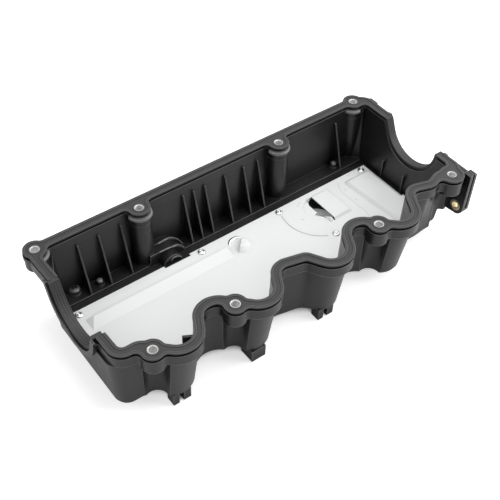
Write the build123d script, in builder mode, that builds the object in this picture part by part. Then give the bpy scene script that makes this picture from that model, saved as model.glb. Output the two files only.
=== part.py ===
from build123d import *
import os

# Engine valve cover, lying open side up, the way it is seen before it is fitted.
# Millimetres, measured from the first front bolt in the plane of the sleeve ends:
# X along the engine, Y across it to the plain side, Z up.

# Levels
lip_height = 0.6
gasket_bottom = -1.6
flange_top = -4.4
groove_bottom = -7.0
flange_bottom = -16.0
boss_bottom = -20.0
shelf_top = -72.5
floor_top = -75.0
crown = -78.0
chamber_floor = -88.5
rest = -91.5

# Rim section: the seal as a half width about the rim line, the rest measured from its edges
seal_half = 4.75
flange_margin = 0.2
groove_inset = 2.45
stem_play = 0.1
lip_width = 2.15
wall = 3.4

# Bolts
pitch = 88.0
front_bolts = [(0, 0), (pitch, 0), (3 * pitch, 0)]
end_bolt = (377.7, 10.1)
back_bolts = [(83.8, 156.7), (260.9, 156.7)]
corner_bolts = [(-26.9, 165.1), (376.3, 165.1)]
near_bolts = front_bolts + [end_bolt]
far_bolts = back_bolts + corner_bolts
all_bolts = near_bolts + far_bolts
bolt_hole_r = 3.7
sleeve_r = 5.5
sleeve_play = 0.05
eye_r = 11.3
end_eye_r = 13.0
neck_r = 6.0
collar_r = 12.2
collar_bottom = -8.5
near_well_r = 12.0
far_well_r = 8.7
column_wall = 3.0
near_column_r = near_well_r + column_wall
far_column_r = far_well_r + column_wall
channel_reach = 30.0

# Rim line: corners with the radius of each bend
rim_path = [
    (-27.8, 11.3, 10.5),
    (-7, 11.3, 12),
    (32.6, -28.8, 20),
    (63.2, 28.2, 18.75),
    (120.6, -28.8, 20),
    (144.9, 16.5, 16),
    (177.7, 8.3, 7),
    (204.4, -36.7, 20),
    (239.2, 28.2, 18.75),
    (296.6, -28.8, 20),
    (323, 20.5, 14),
    (350, 11.7, 14),
    (366, 17.5, 12),
    (390.7, 12, 8),
    (390.7, 158, 6),
    (381, 166.7, 6),
    (-31.5, 166.7, 6),
]

# Outside of the wall under the flange
wall_path = [
    (-35.3, 11.3, 12),
    (-7, 11.3, 12),
    (32.6, -28.8, 20),
    (63.2, 28.2, 18.75),
    (120.6, -28.8, 20),
    (144.9, 16.5, 16),
    (177.7, 8.3, 7),
    (204.4, -36.7, 20),
    (239.2, 28.2, 18.75),
    (296.6, -28.8, 20),
    (323, 20.5, 14),
    (350, 11.7, 14),
    (366, 17.5, 12),
    (390.7, 17.5, 10),
    (390.7, 158, 6),
    (381, 166.7, 6),
    (-15, 166.7, 6),
    (-35.3, 122, 8),
]

# Outside of the wall at the crown
crown_path = [
    (-30.5, 10.5, 14),
    (-5, 10.5, 14),
    (29, -18, 22),
    (62.3, 28, 24),
    (117, -18, 22),
    (141.7, 16, 16),
    (177, 8.5, 12),
    (205, -18, 18),
    (238.3, 28, 24),
    (293, -18, 22),
    (317, 15.2, 14),
    (345, 14, 12),
    (362, 15.5, 10),
    (383, 15.5, 12),
    (383, 147, 6),
    (371, 161.5, 8),
    (-12, 161.5, 6),
    (-30.5, 127, 8),
]
crown_round = 3.0

# Cam openings in the end walls
cam_y = 79.3
cam_r = 35.5
cam_back_y = 115.0
cam_back_r = 3.0
cam_seal = 4.0
cam_rib = 5.0
cam_sides = [(-36.5, -26.0), (386.0, 395.5)]
cam_lips = [(-39.1, -36.5), (395.5, 398.0)]
cam_cut = 8.0
gasket_cut = 2.0

# Ribs and shelf along the back wall
shelf_y = 142.3
shelf_ends = (-26.0, 379.0)
rib_positions = [14.2, 38.0, 63.0, 138.4, 151.5, 165.8, 192.0, 216.6, 235.5, 348.0]
rib_thickness = 1.6
rib_top = -8.0
rib_top_y = 162.0
rib_foot_y = 143.2
rib_back_y = 172.0
domes = [((2.0, 157.0), 7.0), ((28.5, 152.0), 4.7), ((345.0, 153.0), 4.7)]
dome_height = 5.5
dome_taper = 25.0
end_ribs = [74.5, 107.5]
end_rib_x = 378.6
end_rib_top = -50.0

# Arched passage from the back wall, in steps: middle of the arch, its radius, its front
arches = [((104.0, -85.0), 28.0, 152.0), ((104.0, -85.0), 25.5, 142.3), ((106.5, -75.5), 11.5, 134.0)]
arch_start_x = 84.0

# Fin in the first bay
fin_start = (55.5, 17.5)
fin_end = (44.6, 23.6)
fin_thickness = 2.5
fin_top = -40.0
fin_bottom = -71.7

# Flange plateau and tab at the right end, slit in the left end
plateau = [(388, 4), (394.5, 5), (395, 28), (398.5, 38), (398.5, 43.8), (388, 43.8)]
tab = [(390, 146), (398.5, 147), (398.5, 158), (390, 162)]
tab_bottom = -12.0
ledge_top = -0.5
tab_ledge = [(395.9, 147), (398.5, 147), (398.5, 158), (395.9, 159.3)]
slit = (142.0, -7.7)
slit_floor_x = -31.5
slit_length = 12.0
slit_height = 1.4

# Bracket at the right front corner
bracket_left = 391.0
bracket_right = 400.5
bracket_front = -5.0
bracket_back = 33.0
bracket_back_bottom = -62.0
bracket_web_y = 17.0
bracket_web_x = 382.0
bracket_ledge_y = 4.5
bracket_groove_x = 395.8
bracket_groove_width = 3.0
bracket_groove_depth = 1.5
boss_web = 4.0
insert_y = 5.6
insert_z = -48.0
insert_r = 6.5
insert_hole_r = 3.4
insert_length = 9.5
bracket_round = insert_y - bracket_front

# Feet under the lobes
foot_front = -6.0
foot_depth = 11.0
slotted_feet = [14.0, 14.0 + 2 * pitch]
foot_first = 6.5
foot_gap = 5.0
foot_second = 8.0
solid_foot = (103.5, 120.0)
solid_foot_front = -8.5
solid_foot_depth = 18.0

# Oil chamber and filler neck on the crown
chamber_x = (6.0, 234.0)
chamber_y = (32.0, 121.0)
chamber_round = 14.0
chamber_wall = 3.0
chamber_taper = 8.0
filler = (283.5, 107.0)
filler_r = 19.5
filler_wall = 4.5

# Baffle plate
plate_thickness = 1.0
plate_top = shelf_top
plate_clear = 1.5
plate_back_y = 133.0
plate_right_x = 375.0
plate_step_y = 68.0
plate_notch = (94.0, 126.0)
plate_notch_depth = 3.0
ramp_x = (-8.0, 163.0)
ramp_front_y = 101.5
ramp_ridge_y = 115.5
ramp_back_y = 117.5
ramp_height = 3.0
ramp_end_slope = 20.0
scoop = (178.0, 111.5)
scoop_r = 12.0
scoop_height = 5.0
scoop_taper = 50.0
tray = [(280, 82), (312, 82), (312, 126), (280, 126)]
tray_height = 2.5
tray_taper = 45.0
pad = [(343, 18), (378, 18), (378, 66), (374, 68), (374, 123), (337, 123), (334.5, 119)]
pad_height = 3.0
pad_taper = 50.0
dish_depth = 0.6
bead_r = 43.0
bead_start = 162.0
bead_sweep = 82.0
bead_width = 2.0
bead_height = 0.5
slot_x = 287.0
slot = [(285.4, 82.3), (slot_x, 81.7), (slot_x, 124.7), (281, 122), (278, 117), (278, 103), (273.3, 100.8)]
slot_mid = (280.5, 92.0)
rivets = [
    (-10, 127.3),
    (138, 127.5),
    (243, 127.2),
    (366.7, 127.9),
    (273.4, 65),
    (-12, 32),
    (110, 12),
    (205, 12),
    (322, 32),
]
rivet_r = 1.6
rivet_head_r = 4.2
rivet_head = 1.5
rivet_taper = 45.0
rivet_depth = 4.5
rivet_boss_r = 5.5

# Sleeves and insert
sleeve_chamfer = 0.5
insert_chamfer = 0.6


def outline(path, growth=0.0):
    """Face inside a path of corners and bends, grown by the given amount."""
    corners = [(x, y) for x, y, _ in path]
    bends = [bend for _, _, bend in path]
    with BuildSketch() as face:
        with BuildLine():
            FilletPolyline(*corners, radius=bends, close=True)
        make_face()
        if growth:
            offset(amount=growth, mode=Mode.REPLACE)
    return face.sketch


def eyes(growth=0.0, mode=Mode.ADD):
    """Round eye at each bolt, grown by the given amount."""
    with Locations(*front_bolts, *far_bolts):
        Circle(eye_r + growth, mode=mode)
    with Locations(end_bolt):
        Circle(end_eye_r + growth, mode=mode)


def channels(near_r, far_r, mode=Mode.ADD):
    """Round the bolts and from there straight out of the cover."""
    with Locations(*near_bolts):
        Circle(near_r, mode=mode)
        Rectangle(2 * near_r, channel_reach, align=(Align.CENTER, Align.MAX), mode=mode)
    with Locations(*far_bolts):
        Circle(far_r, mode=mode)
        Rectangle(2 * far_r, channel_reach, align=(Align.CENTER, Align.MIN), mode=mode)


def cam_profile(radius, top=0.0):
    """Cam opening seen from its end: half round with a sloped back side, up to a level."""
    with Locations((cam_y, 0)):
        Circle(radius)
    with Locations((cam_back_y, 0)):
        Circle(radius - cam_r + cam_back_r)
    make_hull()
    with Locations((cam_y, min(top, 0))):
        Rectangle(4 * radius, 2 * radius, align=(Align.CENTER, Align.MAX), mode=Mode.INTERSECT)
    if top > 0:
        width = cam_back_y + cam_back_r - cam_y + 2 * radius - cam_r
        with Locations((cam_y - radius, 0)):
            Rectangle(width, top, align=(Align.MIN, Align.MIN))


# Outlines of the wall
wall_face = outline(wall_path)
crown_face = outline(crown_path)
crown_edge = outline(crown_path, -crown_round / 2)
space_top = outline(wall_path, -seal_half)
space_bottom = outline(crown_path, -wall)
plate_face = outline(crown_path, -wall - plate_clear)

# Seal seen from above: a band along the rim line with an eye round each bolt.
# Growing and shrinking an outline by the same amount rounds its corners between band and eyes.
with BuildSketch() as seal_outside:
    add(outline(rim_path, seal_half))
    eyes()
    offset(amount=neck_r, mode=Mode.REPLACE)
    offset(amount=-neck_r, mode=Mode.REPLACE)
with BuildSketch() as seal_inside:
    add(outline(rim_path, -seal_half))
    eyes(mode=Mode.SUBTRACT)
    offset(amount=-neck_r, mode=Mode.REPLACE)
    offset(amount=neck_r, mode=Mode.REPLACE)
with BuildSketch() as seal:
    add(seal_outside.sketch)
    add(seal_inside.sketch, mode=Mode.SUBTRACT)
with BuildSketch() as flange:
    add(seal_outside.sketch)
    offset(amount=flange_margin, mode=Mode.REPLACE)

# Its groove, the stem that fills the groove and the hollow between its lips
with BuildSketch() as groove:
    add(seal.sketch)
    offset(amount=-groove_inset, mode=Mode.REPLACE)
with BuildSketch() as stem:
    add(seal.sketch)
    offset(amount=-groove_inset - stem_play, mode=Mode.REPLACE)
with BuildSketch() as hollow:
    add(seal.sketch)
    offset(amount=-lip_width, mode=Mode.REPLACE)

# Outside of the moulded wall, as a solid block with its lower edge broken
with BuildPart() as block:
    with BuildSketch(Plane.XY.offset(flange_bottom)):
        add(wall_face)
    with BuildSketch(Plane.XY.offset(crown + crown_round)):
        add(crown_face)
    loft(ruled=True)
    with BuildSketch(Plane.XY.offset(crown + crown_round)):
        add(crown_face)
    with BuildSketch(Plane.XY.offset(crown)):
        add(crown_edge)
    loft(ruled=True)

# Space inside the wall
with BuildPart() as space:
    with BuildSketch(Plane.XY.offset(flange_bottom)):
        add(space_top)
    with BuildSketch(Plane.XY.offset(floor_top)):
        add(space_bottom)
    loft(ruled=True)

# What stands inside the wall: bolt columns, shelf, ribs, passage and fin
with BuildPart() as inside:
    with BuildSketch(Plane.XY.offset(flange_bottom)):
        channels(near_column_r, far_column_r)
    extrude(amount=crown - flange_bottom)
    with BuildSketch(Plane.XY.offset(floor_top)):
        with Locations((shelf_ends[0], shelf_y)):
            Rectangle(shelf_ends[1] - shelf_ends[0], rib_back_y - shelf_y, align=(Align.MIN, Align.MIN))
    extrude(amount=shelf_top - floor_top)
    for x in rib_positions:
        with BuildSketch(Plane.YZ.offset(x)):
            with BuildLine():
                Polyline(
                    (rib_back_y, rib_top),
                    (rib_top_y, rib_top),
                    (rib_foot_y, shelf_top),
                    (rib_foot_y, floor_top),
                    (rib_back_y, floor_top),
                    close=True,
                )
            make_face()
        extrude(amount=rib_thickness / 2, both=True)
    for place, radius in domes:
        with BuildSketch(Plane.XY.offset(shelf_top)):
            with Locations(place):
                Circle(radius)
        extrude(amount=dome_height, taper=dome_taper)
    for middle, radius, front_y in arches:
        with BuildSketch(Plane.XZ.offset(-front_y)):
            with Locations(middle):
                Circle(radius)
        extrude(amount=front_y - rib_back_y)
    for middle, radius, front_y in arches[:2]:
        with BuildSketch(Plane.XZ.offset(-front_y)):
            with Locations(middle):
                Rectangle(middle[0] - arch_start_x, radius, align=(Align.MAX, Align.MIN))
        extrude(amount=front_y - rib_back_y)
    with BuildSketch(Plane.XY.offset(floor_top)):
        for y in end_ribs:
            with Locations((end_rib_x, y)):
                Rectangle(bracket_right - end_rib_x, rib_thickness, align=(Align.MIN, Align.CENTER))
    extrude(amount=end_rib_top - floor_top)
    with BuildSketch(Plane.XY.offset(fin_bottom)):
        with BuildLine():
            fin_line = Line(fin_start, fin_end)
        trace(fin_line, fin_thickness)
    extrude(amount=fin_top - fin_bottom)
    with BuildSketch(Plane.XY.offset(floor_top)):
        with Locations(*rivets):
            Circle(rivet_boss_r)
    extrude(amount=plate_top - plate_thickness - floor_top)
    add(block.part, mode=Mode.INTERSECT)

# Cover body, first the block with its flange, hollowed out
with BuildPart() as cover:
    add(block.part)
    with BuildSketch(Plane.XY.offset(flange_bottom)):
        add(flange.sketch)
        with BuildLine():
            Polyline(*plateau, close=True)
        make_face()
    extrude(amount=flange_top - flange_bottom)
    with BuildSketch(Plane.XY.offset(tab_bottom)):
        with BuildLine():
            Polyline(*tab, close=True)
        make_face()
    extrude(amount=flange_top - tab_bottom)
    with BuildSketch(Plane.XY.offset(flange_top)):
        with BuildLine():
            Polyline(*tab_ledge, close=True)
        make_face()
    extrude(amount=ledge_top - flange_top)

    # Bracket at the right front corner, with its web to the wall
    with BuildSketch(Plane.YZ.offset(bracket_left)):
        with BuildLine():
            Polyline(
                (bracket_front, flange_top),
                (bracket_front, insert_z),
                (insert_y, insert_z - bracket_round),
                (bracket_back, bracket_back_bottom),
                (bracket_back, flange_top),
                close=True,
            )
        make_face()
        with Locations((insert_y, insert_z)):
            Circle(bracket_round)
    extrude(amount=bracket_right - bracket_left)
    with BuildSketch(Plane.XY.offset(bracket_back_bottom)):
        with Locations((bracket_web_x, bracket_web_y)):
            Rectangle(
                bracket_left - bracket_web_x, bracket_back - bracket_web_y, align=(Align.MIN, Align.MIN)
            )
    extrude(amount=flange_bottom - bracket_back_bottom)
    with BuildSketch(Plane.XY.offset(flange_top)):
        with Locations((bracket_left, bracket_front)):
            Rectangle(
                bracket_right - bracket_left, bracket_ledge_y - bracket_front, align=(Align.MIN, Align.MIN)
            )
    extrude(amount=ledge_top - flange_top)
    with BuildSketch(Plane.XY.offset(ledge_top)):
        with Locations((bracket_groove_x, bracket_front)):
            Rectangle(bracket_groove_width, 2 * bracket_groove_depth)
    extrude(amount=insert_z - ledge_top, mode=Mode.SUBTRACT)

    # Space inside
    with BuildSketch(Plane.XY.offset(flange_bottom)):
        add(outline(rim_path, -seal_half))
    extrude(amount=flange_top - flange_bottom, mode=Mode.SUBTRACT)
    add(space.part, mode=Mode.SUBTRACT)
    add(inside.part)

    # Cam openings, each with a half round band and a lip outside it
    for low, high in cam_sides:
        with BuildSketch(Plane.YZ.offset(low)):
            cam_profile(cam_r + cam_seal + cam_rib, top=flange_top)
        extrude(amount=high - low)
    for low, high in cam_lips:
        with BuildSketch(Plane.YZ.offset(low)):
            cam_profile(cam_r + cam_seal + cam_rib, top=ledge_top)
        extrude(amount=high - low)
    for low, high in cam_sides:
        with BuildSketch(Plane.YZ.offset(low - cam_cut)):
            cam_profile(cam_r + cam_seal)
        extrude(amount=high - low + 2 * cam_cut, mode=Mode.SUBTRACT)

    # Bolt bosses with their access channels
    with BuildSketch(Plane.XY.offset(boss_bottom)):
        eyes(flange_margin)
        with Locations(end_bolt):
            Rectangle(bracket_left - end_bolt[0], boss_web, align=(Align.MIN, Align.CENTER))
    extrude(amount=flange_top - boss_bottom)
    with BuildSketch(Plane.XY.offset(collar_bottom)):
        with Locations(*far_bolts):
            Circle(collar_r)
    extrude(amount=flange_top - collar_bottom)
    with BuildSketch(Plane.XY.offset(boss_bottom)):
        channels(near_well_r, far_well_r)
    extrude(amount=crown - boss_bottom, mode=Mode.SUBTRACT)

    # Feet under the lobes
    with BuildSketch(Plane.XY.offset(rest)):
        for x in slotted_feet:
            with Locations((x, foot_front)):
                Rectangle(foot_first, foot_depth, align=(Align.MIN, Align.MIN))
            with Locations((x + foot_first + foot_gap, foot_front)):
                Rectangle(foot_second, foot_depth, align=(Align.MIN, Align.MIN))
        with Locations((solid_foot[0], solid_foot_front)):
            Rectangle(solid_foot[1] - solid_foot[0], solid_foot_depth, align=(Align.MIN, Align.MIN))
    extrude(amount=crown - rest + crown_round / 2)

    # Oil chamber under the floor
    with BuildSketch(Plane.XY.offset(crown)):
        with Locations((sum(chamber_x) / 2, sum(chamber_y) / 2)):
            RectangleRounded(chamber_x[1] - chamber_x[0], chamber_y[1] - chamber_y[0], chamber_round)
    extrude(amount=rest - crown, taper=chamber_taper)
    with BuildSketch(Plane.XY.offset(floor_top)):
        with Locations((sum(chamber_x) / 2, sum(chamber_y) / 2)):
            RectangleRounded(chamber_x[1] - chamber_x[0], chamber_y[1] - chamber_y[0], chamber_round)
        offset(amount=-chamber_wall, mode=Mode.REPLACE)
    extrude(amount=chamber_floor - floor_top, taper=chamber_taper, mode=Mode.SUBTRACT)

    # Filler neck
    with BuildSketch(Plane.XY.offset(rest)):
        with Locations(filler):
            Circle(filler_r + filler_wall)
    extrude(amount=crown - rest)
    with BuildSketch(Plane.XY.offset(rest)):
        with Locations(filler):
            Circle(filler_r)
    extrude(amount=floor_top - rest, mode=Mode.SUBTRACT)

    # Groove for the gasket, and a slit in the left end
    with BuildSketch(Plane.XY.offset(groove_bottom)):
        add(groove.sketch)
    extrude(amount=flange_top - groove_bottom, mode=Mode.SUBTRACT)
    with BuildSketch(Plane.YZ.offset(slit_floor_x)):
        with Locations(slit):
            Rectangle(slit_length, slit_height)
    extrude(amount=-channel_reach, mode=Mode.SUBTRACT)

    # Holes for the sleeves, the insert and the rivets
    with BuildSketch(Plane.XY.offset(boss_bottom)):
        with Locations(*all_bolts):
            Circle(sleeve_r + sleeve_play)
    extrude(amount=flange_top - boss_bottom, mode=Mode.SUBTRACT)
    with BuildSketch(Plane.YZ.offset(bracket_left)):
        with Locations((insert_y, insert_z)):
            Circle(insert_r)
    extrude(amount=insert_length, mode=Mode.SUBTRACT)
    with BuildSketch(Plane.XY.offset(plate_top)):
        with Locations(*rivets):
            Circle(rivet_r)
    extrude(amount=-rivet_depth, mode=Mode.SUBTRACT)
cover.part.label = "cover_body"

# Gasket: band with a lip along both edges, a stem in the groove, and an arch in each cam opening
with BuildPart() as gasket:
    with BuildSketch(Plane.XY.offset(gasket_bottom)):
        add(seal.sketch)
    extrude(amount=lip_height - gasket_bottom)
    with BuildSketch():
        add(hollow.sketch)
    extrude(amount=lip_height, mode=Mode.SUBTRACT)
    with BuildSketch(Plane.XY.offset(groove_bottom)):
        add(stem.sketch)
    extrude(amount=gasket_bottom - groove_bottom)
    for low, high in cam_sides:
        with BuildSketch(Plane.YZ.offset(low - cam_cut)):
            cam_profile(cam_r + cam_seal, top=gasket_cut)
        extrude(amount=high - low + 2 * cam_cut, mode=Mode.SUBTRACT)
        with BuildSketch(Plane.YZ.offset(low)):
            cam_profile(cam_r + cam_seal)
        extrude(amount=high - low)
        with BuildSketch(Plane.YZ.offset(low)):
            cam_profile(cam_r, top=gasket_cut)
        extrude(amount=high - low, mode=Mode.SUBTRACT)
    with BuildSketch(Plane.XY.offset(groove_bottom)):
        with Locations(*all_bolts):
            Circle(sleeve_r + stem_play)
    extrude(amount=lip_height - groove_bottom, mode=Mode.SUBTRACT)
gasket.part.label = "rim_gasket"

# Outline of the baffle plate, clear of the walls and the bolt columns
with BuildSketch() as sheet:
    add(plate_face)
    channels(near_column_r + plate_clear, far_column_r + plate_clear, mode=Mode.SUBTRACT)
    with Locations((plate_right_x, plate_step_y)):
        Rectangle(plate_right_x, plate_back_y, align=(Align.MIN, Align.MIN), mode=Mode.SUBTRACT)
    with Locations((0, plate_back_y)):
        Rectangle(3 * plate_right_x, plate_back_y, align=(Align.CENTER, Align.MIN), mode=Mode.SUBTRACT)
    with Locations((plate_notch[0], plate_back_y)):
        Rectangle(
            plate_notch[1] - plate_notch[0],
            plate_notch_depth,
            align=(Align.MIN, Align.MAX),
            mode=Mode.SUBTRACT,
        )

# Forms pressed up from the plate: ramp, scoop, tray, pad and bead
with BuildPart() as ramp:
    with BuildSketch(Plane.YZ.offset(ramp_x[0])):
        with BuildLine():
            Polyline(
                (ramp_front_y, plate_top),
                (ramp_ridge_y, plate_top + ramp_height),
                (ramp_back_y, plate_top),
                close=True,
            )
        make_face()
    extrude(amount=ramp_x[1] - ramp_x[0])
    split(bisect_by=Plane(origin=(ramp_x[0], 0, plate_top)).rotated((0, -ramp_end_slope, 0)), keep=Keep.BOTTOM)
with BuildPart() as scoop_form:
    with BuildSketch(Plane.XY.offset(plate_top)):
        with Locations(scoop):
            Circle(scoop_r)
    extrude(amount=scoop_height, taper=scoop_taper)
    split(bisect_by=Plane(origin=(*scoop, plate_top), z_dir=(-1, 1, 0)), keep=Keep.BOTTOM)
with BuildPart() as tray_form:
    with BuildSketch(Plane.XY.offset(plate_top)):
        with BuildLine():
            Polyline(*tray, close=True)
        make_face()
    extrude(amount=tray_height, taper=tray_taper)
with BuildPart() as pad_form:
    with BuildSketch(Plane.XY.offset(plate_top)):
        with BuildLine():
            Polyline(*pad, close=True)
        make_face()
    extrude(amount=pad_height, taper=pad_taper)
    with BuildSketch(Plane.XY.offset(plate_top)):
        add(sheet.sketch)
    extrude(amount=pad_height, mode=Mode.INTERSECT)
with BuildPart() as bead:
    with BuildSketch(Plane.XY.offset(plate_top)):
        with BuildLine():
            bead_line = CenterArc(filler, bead_r, bead_start, bead_sweep)
        trace(bead_line, bead_width)
    extrude(amount=bead_height)

# Baffle plate
with BuildPart() as plate:
    with BuildSketch(Plane.XY.offset(plate_top)):
        add(sheet.sketch)
    extrude(amount=-plate_thickness)
    with BuildSketch(Plane.XY.offset(plate_top - plate_thickness)):
        with Locations(filler):
            Circle(filler_r - plate_clear)
        with Locations((slot_x, filler[1])):
            Rectangle(filler_r, 2 * filler_r, align=(Align.MIN, Align.CENTER), mode=Mode.SUBTRACT)
    extrude(amount=-dish_depth)
    with BuildSketch(Plane.XY.offset(plate_top)):
        with Locations(filler):
            Circle(filler_r - plate_clear - plate_thickness)
        with Locations((slot_x, filler[1])):
            Rectangle(filler_r, 2 * filler_r, align=(Align.MIN, Align.CENTER), mode=Mode.SUBTRACT)
    extrude(amount=-dish_depth, mode=Mode.SUBTRACT)
    for form in (ramp, scoop_form, tray_form, pad_form, bead):
        add(form.part)
        with Locations((0, 0, -plate_thickness)):
            add(form.part, mode=Mode.SUBTRACT)
    with BuildSketch(Plane.XY.offset(floor_top)):
        with BuildLine():
            Polyline(*slot)
            ThreePointArc(slot[-1], slot_mid, slot[0])
        make_face()
        with Locations(*rivets):
            Circle(rivet_r)
    extrude(amount=plate_top + tray_height - floor_top, mode=Mode.SUBTRACT)
plate.part.label = "baffle_plate"

pieces = [cover.part, gasket.part, plate.part]

# Steel sleeves in the bolt bosses
for number, (x, y) in enumerate(all_bolts, 1):
    with BuildPart() as sleeve:
        with BuildSketch(Plane.XY.offset(boss_bottom)):
            with Locations((x, y)):
                Circle(sleeve_r)
                Circle(bolt_hole_r, mode=Mode.SUBTRACT)
        extrude(amount=-boss_bottom)
        mouth = sleeve.edges().filter_by(GeomType.CIRCLE).group_by(Axis.Z)[-1].sort_by(SortBy.RADIUS)[0]
        chamfer(mouth, sleeve_chamfer)
    sleeve.part.label = f"bolt_sleeve_{number}"
    pieces.append(sleeve.part)

# Rivets through the plate into the floor
for number, (x, y) in enumerate(rivets, 1):
    with BuildPart() as rivet:
        with BuildSketch(Plane.XY.offset(plate_top)):
            with Locations((x, y)):
                Circle(rivet_r)
        extrude(amount=-rivet_depth)
        with BuildSketch(Plane.XY.offset(plate_top)):
            with Locations((x, y)):
                Circle(rivet_head_r)
        extrude(amount=rivet_head, taper=rivet_taper)
    rivet.part.label = f"baffle_rivet_{number}"
    pieces.append(rivet.part)

# Threaded insert in the bracket
with BuildPart() as insert:
    with BuildSketch(Plane.YZ.offset(bracket_left)):
        with Locations((insert_y, insert_z)):
            Circle(insert_r)
            Circle(insert_hole_r, mode=Mode.SUBTRACT)
    extrude(amount=insert_length)
    mouth = insert.edges().filter_by(GeomType.CIRCLE).group_by(Axis.X)[0].sort_by(SortBy.RADIUS)[0]
    chamfer(mouth, insert_chamfer)
insert.part.label = "bracket_insert"
pieces.append(insert.part)

# Every piece goes to the frame of the finished part: origin under the middle of the cover
box = cover.part.bounding_box()
to_frame = Location((-box.center().X, -box.center().Y, -box.min.Z))
os.makedirs("parts", exist_ok=True)
for piece in pieces:
    export_step(piece.moved(to_frame), f"parts/{piece.label}.step")
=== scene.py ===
# %% [markdown]
# # Engine valve cover
#
# The cover lies open side up, as it does on a bench before it is fitted. The
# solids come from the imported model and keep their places. This file adds the
# fine pieces that are too small for them, dresses everything in plastic, rubber
# and metal, lights it softly and sets the camera.

from math import acos, cos, pi, radians, sin

import bmesh
import bpy
from mathutils import Matrix, Vector


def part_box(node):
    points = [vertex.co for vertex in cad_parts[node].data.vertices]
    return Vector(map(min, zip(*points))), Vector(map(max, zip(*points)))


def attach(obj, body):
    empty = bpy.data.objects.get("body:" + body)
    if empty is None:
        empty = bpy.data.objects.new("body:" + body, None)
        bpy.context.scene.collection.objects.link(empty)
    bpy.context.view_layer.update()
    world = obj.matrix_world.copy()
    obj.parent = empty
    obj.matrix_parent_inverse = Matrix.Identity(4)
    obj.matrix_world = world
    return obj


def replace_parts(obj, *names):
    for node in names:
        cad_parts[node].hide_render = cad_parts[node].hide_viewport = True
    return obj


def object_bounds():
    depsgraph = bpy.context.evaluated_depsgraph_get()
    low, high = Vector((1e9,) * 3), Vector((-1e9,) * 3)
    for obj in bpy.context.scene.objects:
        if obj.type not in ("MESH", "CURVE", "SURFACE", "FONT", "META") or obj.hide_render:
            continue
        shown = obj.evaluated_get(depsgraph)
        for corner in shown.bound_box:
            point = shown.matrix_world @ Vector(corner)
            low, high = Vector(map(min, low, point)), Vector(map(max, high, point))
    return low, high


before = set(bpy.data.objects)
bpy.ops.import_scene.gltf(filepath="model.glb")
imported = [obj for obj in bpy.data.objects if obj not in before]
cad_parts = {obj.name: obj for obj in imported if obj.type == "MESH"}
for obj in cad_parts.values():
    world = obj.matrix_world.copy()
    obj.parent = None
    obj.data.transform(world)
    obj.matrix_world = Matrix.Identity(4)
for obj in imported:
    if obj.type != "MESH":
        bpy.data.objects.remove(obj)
solid_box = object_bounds()
print("solids:", len(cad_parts))

# %% [markdown]
# A shader can be wired by hand, link by link, but it is easier to read as sums
# and products. One small class wraps an output socket. Its operators add Math
# nodes, and two named methods keep a number in range and stretch a vector.


# %% Shader values that can be added and multiplied
class Value:
    """An output socket of a node, ready for ordinary arithmetic."""

    def __init__(self, tree, socket):
        self.tree = tree
        self.socket = socket

    def math(self, operation, left, right):
        """A Math node on two values."""
        sockets = {0: left, 1: right}
        return self.tree.node("ShaderNodeMath", {"operation": operation}, sockets)["Value"]

    def __add__(self, other):
        return self.math("ADD", self, other)

    def __radd__(self, other):
        return self.math("ADD", other, self)

    def __sub__(self, other):
        return self.math("SUBTRACT", self, other)

    def __rsub__(self, other):
        return self.math("SUBTRACT", other, self)

    def __mul__(self, other):
        return self.math("MULTIPLY", self, other)

    def __rmul__(self, other):
        return self.math("MULTIPLY", other, self)

    def limited(self):
        """The value, kept between 0 and 1."""
        return self.tree.node("ShaderNodeClamp", {}, {"Value": self})["Result"]

    def stretched(self, factors):
        """A vector, stretched along each axis."""
        settings = {"operation": "MULTIPLY"}
        return self.tree.node("ShaderNodeVectorMath", settings, {0: self, 1: factors})["Vector"]


# %% [markdown]
# Materials and the sky both hold a tree of nodes. One class adds any node in a
# single call: its kind, its settings, which come first because they can change
# its sockets, and then the values or links of its inputs. It hands back the
# outputs as values, so that they can go straight into a sum.


# %% Nodes of a material or of the sky
class Nodes:
    """The nodes of one tree, with one way to add any of them."""

    def __init__(self, owner):
        owner.use_nodes = True
        self.nodes = owner.node_tree.nodes
        self.links = owner.node_tree.links

    def node(self, kind, settings=None, sockets=None):
        """Add a node, set it up, fill its inputs and return its outputs by name."""
        new = self.nodes.new(kind)
        for name, value in (settings or {}).items():
            setattr(new, name, value)
        for name, value in (sockets or {}).items():
            self.fill(new.inputs[name], value)
        # Hidden outputs can share a name, and of two alike the first one counts.
        outputs = [output for output in reversed(new.outputs) if output.enabled]
        return {output.name: Value(self, output) for output in outputs}

    def fill(self, socket, value):
        """Link a value to a socket, or set a constant on it."""
        if isinstance(value, Value):
            self.links.new(value.socket, socket)
        else:
            socket.default_value = value


# %% [markdown]
# Every finish here is one Principled shader. Its class knows the few patterns
# that moulded and pressed parts need: noise, rounded edges, bumps and the dark
# that gathers in corners. Sizes are in metres, so a pattern keeps its real size
# on a piece of any size.


# %% A finish and its patterns
def grey(level):
    """An even grey colour."""
    return (level, level, level)


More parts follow.
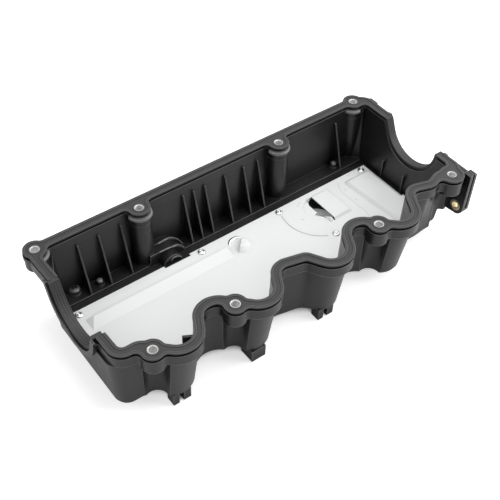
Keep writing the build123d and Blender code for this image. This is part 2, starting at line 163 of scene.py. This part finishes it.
class Finish(Nodes):
    """One material, built up from nodes."""

    def __init__(self, name):
        self.material = bpy.data.materials.new(name)
        super().__init__(self.material)
        self.shader = self.nodes["Principled BSDF"]
        self.spot = self.node("ShaderNodeTexCoord")["Object"]

    def noise(self, size, detail, stretch=(1, 1, 1)):
        """Noise from 0 to 1 with features of about the given size."""
        sockets = {"Vector": self.spot.stretched(stretch), "Scale": 1 / size, "Detail": detail}
        return self.node("ShaderNodeTexNoise", {}, sockets)["Fac"]

    def blend(self, amount, low, high):
        """A colour between two. A mix of colours has its inputs at 0, 6 and 7."""
        sockets = {0: amount, 6: (*low, 1), 7: (*high, 1)}
        return self.node("ShaderNodeMix", {"data_type": "RGBA"}, sockets)["Result"]

    def corners(self, reach, inside=False, samples=8):
        """1 on open faces, falling to 0 in corners, or along outer edges if inside."""
        settings = {"samples": samples, "inside": inside}
        return self.node("ShaderNodeAmbientOcclusion", settings, {"Distance": reach})["AO"]

    def relief(self, height, depth, edge):
        """Bumps of the given depth on edges rounded by a small radius."""
        soft = self.node("ShaderNodeBevel", {"samples": 6}, {"Radius": edge})["Normal"]
        sockets = {"Height": height, "Distance": depth, "Normal": soft}
        return self.node("ShaderNodeBump", {}, sockets)["Normal"]

    def set(self, **sockets):
        """Fill inputs of the shader, with an underscore for each space in a name."""
        for name, value in sockets.items():
            self.fill(self.shader.inputs[name.replace("_", " ")], value)

    def paint_shade(self, amount):
        """Painted shade: fade to a dead black, where little light gets in or out."""
        dead = {"Color": (*grey(0.001), 1)}
        black = self.node("ShaderNodeBsdfDiffuse", {}, dead)["BSDF"]
        sockets = {0: amount, 1: Value(self, self.shader.outputs["BSDF"]), 2: black}
        mixed = self.node("ShaderNodeMixShader", {}, sockets)["Shader"]
        self.links.new(mixed.socket, self.nodes["Material Output"].inputs["Surface"])


# %% [markdown]
# The cover is injection moulded in black glass-filled plastic. The tool leaves
# a fine even grain, so the surface is half matt, and the melt leaves slightly
# duller clouds where it ran slowly. A picture of plastic would blur up close, so
# the grain is noise. The edges of ribs and rims are painted a little paler, a
# painted highlight, and deep corners fade to black, a painted shade for black
# walls that pass hardly any light on.

# %% Moulded plastic
plastic = Finish("moulded_plastic")
grain = plastic.noise(size=0.0006, detail=2)
clouds = plastic.noise(size=0.03, detail=4)
streaks = plastic.noise(size=0.012, detail=3, stretch=(1, 1, 0.3))
# Painted highlight: the outer edges of ribs and rims are painted paler.
edges = 1 - plastic.corners(reach=0.0009, inside=True)
plastic.set(
    Base_Color=plastic.blend(edges * 1.2 + clouds * 0.05, low=grey(0.005), high=grey(0.24)),
    Roughness=0.22 + clouds * 0.16 + streaks * 0.08,
    Normal=plastic.relief(grain + streaks * 2, depth=0.00005, edge=0.0008),
)
# Painted shade: deep corners of the plastic fade to a dead black.
painted_corner_shade = 1 - plastic.corners(reach=0.022)
plastic.paint_shade(painted_corner_shade * 0.55)
print("plastic nodes:", len(plastic.nodes))

# %% [markdown]
# Under the rim and on the arches the collars and edges catch the light, so their
# plastic is painted paler, a painted highlight. A mask in the first finish could
# show it, but these forms are pieces of their own, so a second finish is simpler.

# %% Painted highlight plastic
# The whole finish is a painted highlight: plastic painted paler than the cover.
highlight = Finish("painted_highlight_plastic")
sheen = highlight.noise(size=0.004, detail=3)
highlight.set(
    Base_Color=highlight.blend(sheen, low=grey(0.13), high=grey(0.21)),
    Roughness=0.26 + sheen * 0.1,
    Normal=highlight.relief(sheen, depth=0.00003, edge=0.0003),
)
print("smooth plastic nodes:", len(highlight.nodes))

# %% [markdown]
# The gasket is moulded rubber. It is greyer and duller than the plastic, with a
# fine bloom of paler specks. The corners under the lips are found and painted
# darker, a painted shade, and the edges of the lips are painted paler, a painted highlight.

# %% Gasket rubber
rubber = Finish("gasket_rubber")
bloom = rubber.noise(size=0.0012, detail=4)
patches = rubber.noise(size=0.02, detail=3)
# Painted shade: the corners under the lips are painted darker.
rubber_unshaded = rubber.corners(reach=0.0025)
# Painted highlight: the edges of the lips are painted paler.
edges = 1 - rubber.corners(reach=0.0006, inside=True)
tone = rubber_unshaded * rubber_unshaded * (0.28 + patches * 0.15) + edges * 0.5
rubber.set(
    Base_Color=rubber.blend(tone, low=grey(0.002), high=grey(0.12)),
    Roughness=0.42 + bloom * 0.16,
    Specular_IOR_Level=0.25,
    Normal=rubber.relief(bloom, depth=0.00008, edge=0.0004),
)
print("rubber nodes:", len(rubber.nodes))

# %% [markdown]
# The baffle is pressed from aluminium sheet with a matt, almost white skin.
# Rolling leaves faint lines along the sheet, which are noise stretched along
# its length, and handling leaves soft smears that change its gloss. A bare metal
# would mirror the black walls, so the skin is hardly metallic.

# %% Baffle sheet
sheet = Finish("satin_sheet")
rolling = sheet.noise(size=0.0008, detail=3, stretch=(0.03, 1, 1))
smears = sheet.noise(size=0.05, detail=3)
# Painted shade: the sheet is painted darker in the corners round its relief and along the
# walls.
sheet_unshaded = sheet.corners(reach=0.006)
tone = sheet_unshaded * sheet_unshaded * (0.96 + smears * 0.08)
sheet.set(
    Base_Color=sheet.blend(tone, low=grey(0.5), high=(0.79, 0.8, 0.795)),
    Metallic=0.04,
    Roughness=0.5 + smears * 0.1 + rolling * 0.06,
    Normal=sheet.relief(rolling, depth=0.00002, edge=0.0008),
)
print("sheet nodes:", len(sheet.nodes))

# %% [markdown]
# The sleeves are turned from steel bar and plated, and the plating is a little
# cloudy. A deep bore mirrors only its own dark wall. A lamp over each could
# brighten it, but it is simpler to paint the light in: the steel is painted paler
# and made a little less metallic with depth, which keeps the bore silver from
# every side.

# %% Plated steel
steel = Finish("plated_steel")
plating = steel.noise(size=0.003, detail=4)
scratches = steel.noise(size=0.0005, detail=2)
# Painted light: the steel is painted paler deep in the bore.
bore_painted_light = 1 - steel.corners(reach=0.012)
steel.set(
    Base_Color=steel.blend(plating * 0.3 + bore_painted_light, low=grey(0.26), high=(0.95, 0.95, 0.94)),
    Metallic=1 - bore_painted_light * 0.2,
    Roughness=0.36 + plating * 0.16,
    Normal=steel.relief(scratches, depth=0.00002, edge=0.0003),
)
print("steel nodes:", len(steel.nodes))

# %% [markdown]
# Rivet heads are polished by the setting tool, and the insert in the bracket is
# plain turned brass. One metal with a colour for each object could serve both,
# but two short finishes are easier to read. Both are bare, so a fully metallic
# shader with a scuffed gloss is all they need.

# %% Rivets and insert
polish = Finish("rivet_aluminium")
scuffs = polish.noise(size=0.002, detail=4)
polish.set(
    Base_Color=polish.blend(scuffs, low=(0.5, 0.51, 0.52), high=(0.74, 0.75, 0.75)),
    Metallic=1.0,
    Roughness=0.2 + scuffs * 0.16,
    Normal=polish.relief(scuffs, depth=0.00003, edge=0.0002),
)
brass = Finish("turned_brass")
tarnish = brass.noise(size=0.003, detail=4)
brass.set(
    Base_Color=brass.blend(tarnish, low=(0.66, 0.55, 0.34), high=(0.86, 0.78, 0.58)),
    Metallic=1.0,
    Roughness=0.26 + tarnish * 0.15,
    Normal=brass.relief(tarnish, depth=0.00003, edge=0.0003),
)
print("metal nodes:", len(polish.nodes) + len(brass.nodes))

# %% [markdown]
# Each solid is a piece of the real cover and keeps its own object. They could be
# dressed one by one, but numbered solids, such as the sleeves, share a finish,
# so the first part of the name picks it.

# %% Dress the solids
finishes = {
    "cover_body": plastic,
    "rim_gasket": rubber,
    "baffle_plate": sheet,
    "bolt_sleeve": steel,
    "baffle_rivet": polish,
    "bracket_insert": brass,
}
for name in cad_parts:
    finish = next(finishes[key] for key in finishes if name.startswith(key))
    solid = bpy.data.objects[name]
    solid.data.materials.clear()
    solid.data.materials.append(finish.material)
print("dressed:", ", ".join(finishes))

# %% [markdown]
# The drawing of the cover is in millimetres from the first front bolt, at the
# level of the rim. The model is in metres from the middle of its underside. One
# function leads from one to the other, so that every piece below can be given as
# on the drawing. Two more give the angles of a turn and a point on a level
# circle.

# %% Places on the drawing
MILLIMETRES = 1000
ORIGIN = Vector((180.7, 78.1648, -91.5))
SHELF = -72.5


def place(x, y, z):
    """A point of the drawing, in metres in the frame of the model."""
    return (Vector((x, y, z)) - ORIGIN) / MILLIMETRES


def angles(steps, start=0.0, end=2 * pi):
    """Even angles from start to end, with both of them."""
    return [start + (end - start) * i / steps for i in range(steps + 1)]


def on_circle(x, y, radius, angle, height):
    """A point on a level circle round a place of the drawing."""
    return place(x + radius * cos(angle), y + radius * sin(angle), height)


print("shelf at", round(place(0, 0, SHELF).z, 4), "m")

# %% [markdown]
# Fine pieces are meshes of rings. A shape collects rings of points, joins each
# ring to the next and becomes one object that rides with the cover. Curves with
# a bevel would do for the beads, but rings also make the turned pieces and the
# crescent, so one way serves for all.


# %% Rings into meshes
SAME_POINT = 1e-7


class Shape:
    """Points and faces that become one piece."""

    def __init__(self):
        self.points = []
        self.faces = []

    def rings(self, rings, joined=False):
        """Join each ring to the next, and the last to the first if joined."""
        start, count = len(self.points), len(rings[0])
        for ring in rings:
            self.points.extend(ring)
        for i in range(len(rings) if joined else len(rings) - 1):
            a, b = start + i * count, start + (i + 1) % len(rings) * count
            for j in range(count):
                k = (j + 1) % count
                self.faces.append((a + j, a + k, b + k, b + j))

    def tube(self, path, radius, joined=False, up=(0, 0, 1), sides=8):
        """Round bead along a path of places, with its radius in millimetres."""
        up, reach = Vector(up), radius / MILLIMETRES
        rings = []
        for i, point in enumerate(path):
            before = path[i - 1] if joined or i else point
            after = path[(i + 1) % len(path)] if joined or i < len(path) - 1 else point
            side = (after - before).cross(up).normalized()
            around = angles(sides)[:-1]
            rings.append([point + (side * cos(t) + up * sin(t)) * reach for t in around])
        self.rings(rings, joined)

    def turned(self, profile, centre, sides=48):
        """Profile of radius and height turned about an upright line on the shelf."""
        around = angles(sides)[:-1]
        rings = [[on_circle(*centre, r, t, SHELF + h) for t in around] for r, h in profile]
        self.rings(rings)

    def piece(self, name, finish):
        """Make the object, and let it ride with the cover."""
        mesh = bpy.data.meshes.new(name)
        mesh.from_pydata(self.points, [], self.faces)
        welded = bmesh.new()
        welded.from_mesh(mesh)
        bmesh.ops.remove_doubles(welded, verts=welded.verts, dist=SAME_POINT)
        bmesh.ops.recalc_face_normals(welded, faces=welded.faces)
        welded.to_mesh(mesh)
        welded.free()
        mesh.shade_smooth()
        mesh.materials.append(finish.material)
        made = bpy.data.objects.new(name, mesh)
        bpy.context.collection.objects.link(made)
        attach(made, "root")
        print(name, len(mesh.polygons), "faces")
        return made


# %% [markdown]
# The lips of the gasket have rounded edges that catch the light as fine lines.
# A bevel on the solid could round them, but the solids stay as they are. So the
# edges are found in the gasket itself, every edge of its highest faces, and
# strung together into closed lines.

# %% Edges of the lips
WELD = 1e-6
LEVEL_PLAY = 1e-5
FACING_UP = 0.9


def lip_lines(solid, level):
    """Closed lines of points along the edges of the faces at a level."""
    mesh = bmesh.new()
    mesh.from_mesh(solid.data)
    bmesh.ops.transform(mesh, matrix=solid.matrix_world, verts=mesh.verts)
    bmesh.ops.remove_doubles(mesh, verts=mesh.verts, dist=WELD)
    mesh.normal_update()
    nexts = {}
    for edge in mesh.edges:
        tops = [face for face in edge.link_faces if face.normal.z > FACING_UP]
        at_level = all(abs(vert.co.z - level) < LEVEL_PLAY for vert in edge.verts)
        if len(tops) == 1 and at_level:
            a, b = edge.verts
            nexts.setdefault(a.index, []).append(b.index)
            nexts.setdefault(b.index, []).append(a.index)
    mesh.verts.ensure_lookup_table()
    lines = []
    while nexts:
        here = next(iter(nexts))
        line = []
        while here in nexts:
            line.append(mesh.verts[here].co.copy())
            ahead = [index for index in nexts.pop(here) if index in nexts]
            here = ahead[0] if ahead else None
        lines.append(line)
    mesh.free()
    return lines


lip_edges = lip_lines(bpy.data.objects["rim_gasket"], level=solid_box[1][2])
print("points of the lip lines:", [len(line) for line in lip_edges])

# %% [markdown]
# A thin bead of rubber runs along each line. A wider one would shine more, but
# the real edges are barely rounded. The bead is sunk by its own radius, so that
# its crown is level with the lip and the gasket gets no taller.

# %% Beads along the lips
BEAD = 0.35
sink = Vector((0, 0, BEAD / MILLIMETRES))
beads = Shape()
for line in lip_edges:
    beads.tube([point - sink for point in line], BEAD, joined=True)
beads.piece("gasket_beads", rubber)

# %% [markdown]
# A soft ring of rubber grips the rim of each steel sleeve, so only a thin ring
# of bright metal is left to see. Each could be a torus of its own, but a closed
# bead along a circle gives the same form, and all eight can be one piece.

# %% Rings round the sleeves
FRONT_BOLTS = [(0, 0), (88, 0), (264, 0), (377.7, 10.1)]
BACK_BOLTS = [(83.8, 156.7), (260.9, 156.7), (-26.9, 165.1), (376.3, 165.1)]
GRIP_RADIUS, GRIP_LEVEL, GRIP_STEPS = 5.3, 0.05, 40
grips = Shape()
for x, y in FRONT_BOLTS + BACK_BOLTS:
    circle = [on_circle(x, y, GRIP_RADIUS, t, GRIP_LEVEL) for t in angles(GRIP_STEPS)[:-1]]
    grips.tube(circle, BEAD, joined=True)
grips.piece("sleeve_grips", rubber)

# %% [markdown]
# Under the rim each back column swells into a rounded collar. It faces the sky
# and shows as a bright crescent. A torus would be the plainest way, but a whole
# ring would come out through the wall, so each collar is an arc that ends inside
# the walls beside its column.

# %% Collars of the back columns
COLLAR_ARCS = [(180, 360), (180, 360), (265, 350), (190, 275)]
COLLAR_RADIUS, COLLAR_LEVEL, COLLAR_SWELL = 10.9, -7.4, 2.5
COLLAR_STEPS, COLLAR_SIDES = 32, 20
collars = Shape()
for (x, y), (start, end) in zip(BACK_BOLTS, COLLAR_ARCS):
    arc = angles(COLLAR_STEPS, radians(start), radians(end))
    path = [on_circle(x, y, COLLAR_RADIUS, t, COLLAR_LEVEL) for t in arc]
    collars.tube(path, COLLAR_SWELL, sides=COLLAR_SIDES)
# The collars wear the paler plastic, a painted highlight.
collars.piece("column_collars", highlight)

# %% [markdown]
# In the cam openings the gasket turns down into an arch: half round, with a
# straight side that leans to a small bend at the back. Its face carries three
# fine ribs that seal on the bearing cap. They could be traced from the solid,
# as the lips are, but two arcs give this outline exactly, with the straight
# side between them, so each rib is a bead along a formula.

# %% Ribs in the cam openings
MIDDLE, BIG, BIG_STEPS = Vector((79.3, 0)), 35.5, 60
BEND, SMALL, SMALL_STEPS = Vector((115.0, 0)), 3.0, 8
RIB = 0.3
RIB_PLACES = (-33.9, -31.2, -28.6, 388.4, 390.7, 393.1)


def arch_line(x):
    """The outline of the cam opening, at a place along the engine."""
    lean = acos((BIG - SMALL) / (BEND - MIDDLE).x)
    turn, bend = angles(BIG_STEPS, pi, 2 * pi - lean), angles(SMALL_STEPS, -lean, 0)
    front = [MIDDLE + BIG * Vector((cos(t), sin(t))) for t in turn]
    behind = [BEND + SMALL * Vector((cos(t), sin(t))) for t in bend]
    return [place(x, y, z) for y, z in front + behind]


arch_ribs = Shape()
for x in RIB_PLACES:
    arch_ribs.tube(arch_line(x), RIB, up=(1, 0, 0))
arch_ribs.piece("arch_ribs", rubber)

# %% [markdown]
# The rivets are blind rivets: a domed head with a ring pressed by the tool and
# the end of the pin in the middle. A sculpted head could be copied nine times,
# but the form is round, so a short profile is turned once for each rivet. The
# heads stand for the plain ones of the solids.

# %% Rivet heads
RIM_OF_HEAD = [(4.2, -1.0), (4.2, 0.25), (3.9, 0.7), (3.2, 1.2), (2.5, 1.5)]
PRESSED_RING = [(2.1, 1.45), (1.8, 0.9), (1.6, 0.9)]
END_OF_PIN = [(1.5, 1.35), (1.1, 1.6), (0.6, 1.75), (0.01, 1.8)]
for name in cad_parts:
    if name.startswith("baffle_rivet"):
        low, high = (Vector(corner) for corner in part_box(name))
        middle = (low + high) / 2 * MILLIMETRES + ORIGIN
        head = Shape()
        head.turned(RIM_OF_HEAD + PRESSED_RING + END_OF_PIN, middle.xy, sides=32)
        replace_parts(head.piece(name.replace("baffle", "domed"), polish), name)

# %% [markdown]
# Round bosses stand on the shelf along the back wall. The solids have them as
# blunt cones; on the real cover they are smooth balls. A whole sphere would hide
# half of its faces below the shelf, so a quarter turn is the profile of each
# ball. The largest one stands so close to the wall that its back is cut off
# inside the wall.

# %% Balls on the shelf
BALLS = [((2, 156.6), 6.9, 7.0), ((28.5, 152), 5.1, 6.1), ((345, 153), 5.1, 6.1)]
TIP = 0.01
INSIDE_WALL = 160
BALL_STEPS = 12
balls = Shape()
for centre, radius, height in BALLS:
    rise = angles(BALL_STEPS, 0, pi / 2)
    balls.turned([(radius * cos(t) + TIP, height * sin(t)) for t in rise], centre)
deepest = place(0, INSIDE_WALL, 0).y
for point in balls.points:
    point.y = min(point.y, deepest)
balls.piece("shelf_balls", plastic)

# %% [markdown]
# Beside the second back column two arches step down to the shelf, one behind
# the other, with a small round boss before them. Their rounded edges shine. A
# bevel could round the sharp edges of the solid, but the solids stay as they
# are, so a bead is laid along each one.

# %% Edges of the arches
BACK_ARCH = [
    (100, 152, -57.9),
    (107, 152.6, -57.2),
    (115, 154.4, -59.3),
    (120.9, 154.3, -62.7),
    (126, 153.2, -67.8),
    (128.6, 149.7, -72.5),
]
FRONT_ARCH = [
    (95.2, 142.3, -59.8),
    (103, 142.3, -59.8),
    (111, 142.3, -60.6),
    (118.6, 144.9, -64.2),
    (124.8, 146.8, -70.2),
    (127, 144.1, -72.5),
]
BOSS = [
    (104.1, 134, -71.1),
    (106.3, 134, -67.5),
    (111.3, 134, -67.7),
    (115, 134, -70.4),
    (117, 134, -73),
]
ARCH_EDGE = 0.7
arch_edges = Shape()
for corner_line in (BACK_ARCH, FRONT_ARCH, BOSS):
    arch_edges.tube([place(*point) for point in corner_line], ARCH_EDGE)
# The beads wear the paler plastic, a painted highlight.
arch_edges.piece("arch_edges", highlight)

# %% [markdown]
# The press also leaves small marks in the sheet: a shallow line that bends
# round the breather tray and a few round dimples beside it. A bump in the
# material could show them, but they are real forms, so they are thin pieces.

# %% Marks in the sheet
DIMPLE = [(1.5, -0.2), (1.3, 0.25), (0.8, 0.5), (0.01, 0.6)]
BY_THE_SLOT = [(267.7, 123.4), (271.7, 125.6), (258.3, 103.1)]
BY_THE_PAD = [(328.5, 93.7), (328.4, 112.6), (348, 128.2)]
BEND_LINE = [(330, 127), (326, 121), (323.3, 115), (322.9, 103)]
BEND_LINE += [(323, 81.6), (324.4, 74), (322.6, 66), (318, 58)]
PRESSED_LINE = 0.3
marks = Shape()
for centre in BY_THE_SLOT + BY_THE_PAD:
    marks.turned(DIMPLE, centre, sides=20)
marks.tube([place(x, y, SHELF) for x, y in BEND_LINE], PRESSED_LINE)
marks.piece("sheet_marks", sheet)

# %% [markdown]
# Near the middle a small crescent is pushed up out of the sheet. Its polished
# crown mirrors the sky, between darker edges that mirror the walls. It could be
# sculpted, but its form is regular: a row of rings like a bead, which swell
# towards the middle of the curve.

# %% Crescent
CRESCENT_STEPS, CRESCENT_SIDES = 24, 16
CRESCENT_START, CRESCENT_END = 0.98 * pi, 0.12 * pi
MIDDLE_X, MIDDLE_Y = 177.3, 115.8
REACH_X, REACH_Y = 9.6, 7.9
TIP_WIDTH, SWELL_WIDTH = 0.2, 2.0
TIP_HEIGHT, SWELL_HEIGHT = 0.1, 1.3
rings = []
for i, t in enumerate(angles(CRESCENT_STEPS, CRESCENT_START, CRESCENT_END)):
    swell = sin(pi * i / CRESCENT_STEPS)
    width, crown = TIP_WIDTH + SWELL_WIDTH * swell, TIP_HEIGHT + SWELL_HEIGHT * swell
    middle = Vector((MIDDLE_X + REACH_X * cos(t), MIDDLE_Y + REACH_Y * sin(t)))
    outward = Vector((cos(t), sin(t)))
    around = angles(CRESCENT_SIDES)[:-1]
    ring = [place(*(middle + outward * width * cos(a)), SHELF + crown * sin(a)) for a in around]
    rings.append(ring)
crescent = Shape()
crescent.rings(rings)
crescent.piece("sheet_crescent", polish)

# %% [markdown]
# Through the slot in the sheet the thread of the filler neck shows as dark
# curved lines. A screw modifier could wind it, but a bead along a rising circle
# is just as short to write.

# %% Thread of the filler neck
NECK_X, NECK_Y, NECK_RADIUS = 283.5, 107, 19.2
THREAD_FOOT, PITCH, TURNS = -89, 4, 3
THREAD, STEPS_PER_TURN = 0.9, 80
path = []
for t in angles(TURNS * STEPS_PER_TURN, 0, TURNS * 2 * pi):
    path.append(on_circle(NECK_X, NECK_Y, NECK_RADIUS, t, THREAD_FOOT + PITCH * t / (2 * pi)))
thread = Shape()
thread.tube(path, THREAD)
thread.piece("filler_thread", plastic)

# %% [markdown]
# The cover stands on a white table that runs far past the picture. More light
# would make the table white, but the cover too pale, so the table glows for the
# camera alone, and faintly for mirrored rays. It keeps the shadow, and it stays
# dark where the cover shuts the light out, such as under the filler neck. The
# open floor is found as corners are: the mask is full where three tenths of the
# sky can be reached, and nothing below about an eighth.

# %% Table
TABLE_SIZE, TABLE_GAP = 12, 0.0005
MIRRORED, THROUGH = 0.2, 0.2
below = solid_box[0][2] - TABLE_GAP
bpy.ops.mesh.primitive_plane_add(size=TABLE_SIZE, location=(0, 0, below))
table = bpy.context.object
table.name = "table"
paper = Finish("white_paper")
rays = paper.node("ShaderNodeLightPath")
open_floor = (6 * paper.corners(reach=0.03, samples=32) - 0.8).limited()
mirrored = rays["Is Glossy Ray"] * MIRRORED + rays["Is Transmission Ray"] * THROUGH
seen = (rays["Is Camera Ray"] + mirrored) * open_floor
paper.set(
    Base_Color=(*grey(0.8), 1),
    Roughness=0.8,
    Emission_Color=paper.blend(seen, low=grey(0), high=grey(0.6)),
    Emission_Strength=1.0,
)
table.data.materials.append(paper.material)
print("table at", round(below, 5), "m")

# %% [markdown]
# The sky is white to the camera and in mirrored rays, which gives the plastic
# its sheen. For all other rays it is dimmer, so that the lamps shape the cover.
# A picture of a studio could light the scene too, but an even sky needs no file
# and is the same from every side.

# %% Sky
DIM = 0.35
world = bpy.data.worlds.new("studio")
bpy.context.scene.world = world
sky = Nodes(world)
rays = sky.node("ShaderNodeLightPath")
seen = (rays["Is Camera Ray"] + rays["Is Glossy Ray"]).limited()
background = sky.nodes["Background"]
sky.fill(background.inputs["Color"], (*grey(1), 1))
sky.fill(background.inputs["Strength"], DIM + seen * (1 - DIM))
print("sky nodes:", len(sky.nodes))

# %% [markdown]
# Four large square lamps light the cover softly. The one above is the
# brightest, the one at the front right shapes the scallops, and two weaker ones
# fill the sides. Small lamps would draw hard shadows on the sheet.


# %% Lamps
def soft_box(name, spot, aim, size, watts):
    """Square lamp that points at a place."""
    lamp = bpy.data.lights.new(name, "AREA")
    lamp.shape = "SQUARE"
    lamp.size = size
    lamp.energy = watts
    holder = bpy.data.objects.new(name, lamp)
    bpy.context.collection.objects.link(holder)
    holder.location = spot
    holder.rotation_euler = (Vector(aim) - Vector(spot)).to_track_quat("-Z", "Y").to_euler()


RIM_HEIGHT = (0, 0, 0.05)
soft_box("top", (0.25, 0.0, 1.3), aim=(0, 0, 0), size=1.0, watts=10)
soft_box("left", (-1.1, 0.1, 0.9), aim=RIM_HEIGHT, size=0.8, watts=3)
soft_box("right", (1.2, 0.0, 0.6), aim=RIM_HEIGHT, size=0.8, watts=5)
soft_box("front_right", (0.9, -0.9, 0.9), aim=RIM_HEIGHT, size=0.7, watts=9)
print("lamps:", len(bpy.data.lights))

# %% [markdown]
# The picture looks down on the scalloped side from the left. The lens and the
# distance were worked out from the eight bolt holes. The camera could be aimed
# with a constraint, but it is also rolled a little, so its three directions are
# written straight into its matrix.

# %% Camera
azimuth, elevation, roll = radians(-38.45), radians(46.38), radians(2.11)
distance = 0.82806
target = Vector((-0.04185, -0.032485, 0.0915))
SENSOR, LENS = 36, 62.44
away = Vector((sin(azimuth), -cos(azimuth), 0))
back = away * cos(elevation) + Vector((0, 0, sin(elevation)))
level = Vector((cos(azimuth), sin(azimuth), 0))
upright = back.cross(level)
right = level * cos(roll) + upright * sin(roll)
up = upright * cos(roll) - level * sin(roll)
camera = bpy.data.objects.new("camera", bpy.data.cameras.new("camera"))
bpy.context.collection.objects.link(camera)
facing = Matrix((right, up, back)).transposed().to_4x4()
camera.matrix_world = Matrix.Translation(target + back * distance) @ facing
camera.data.sensor_width = SENSOR
camera.data.lens = LENS
bpy.context.scene.camera = camera
bpy.context.scene.view_settings.view_transform = "Standard"
print("camera at", [round(value, 3) for value in camera.matrix_world.translation])
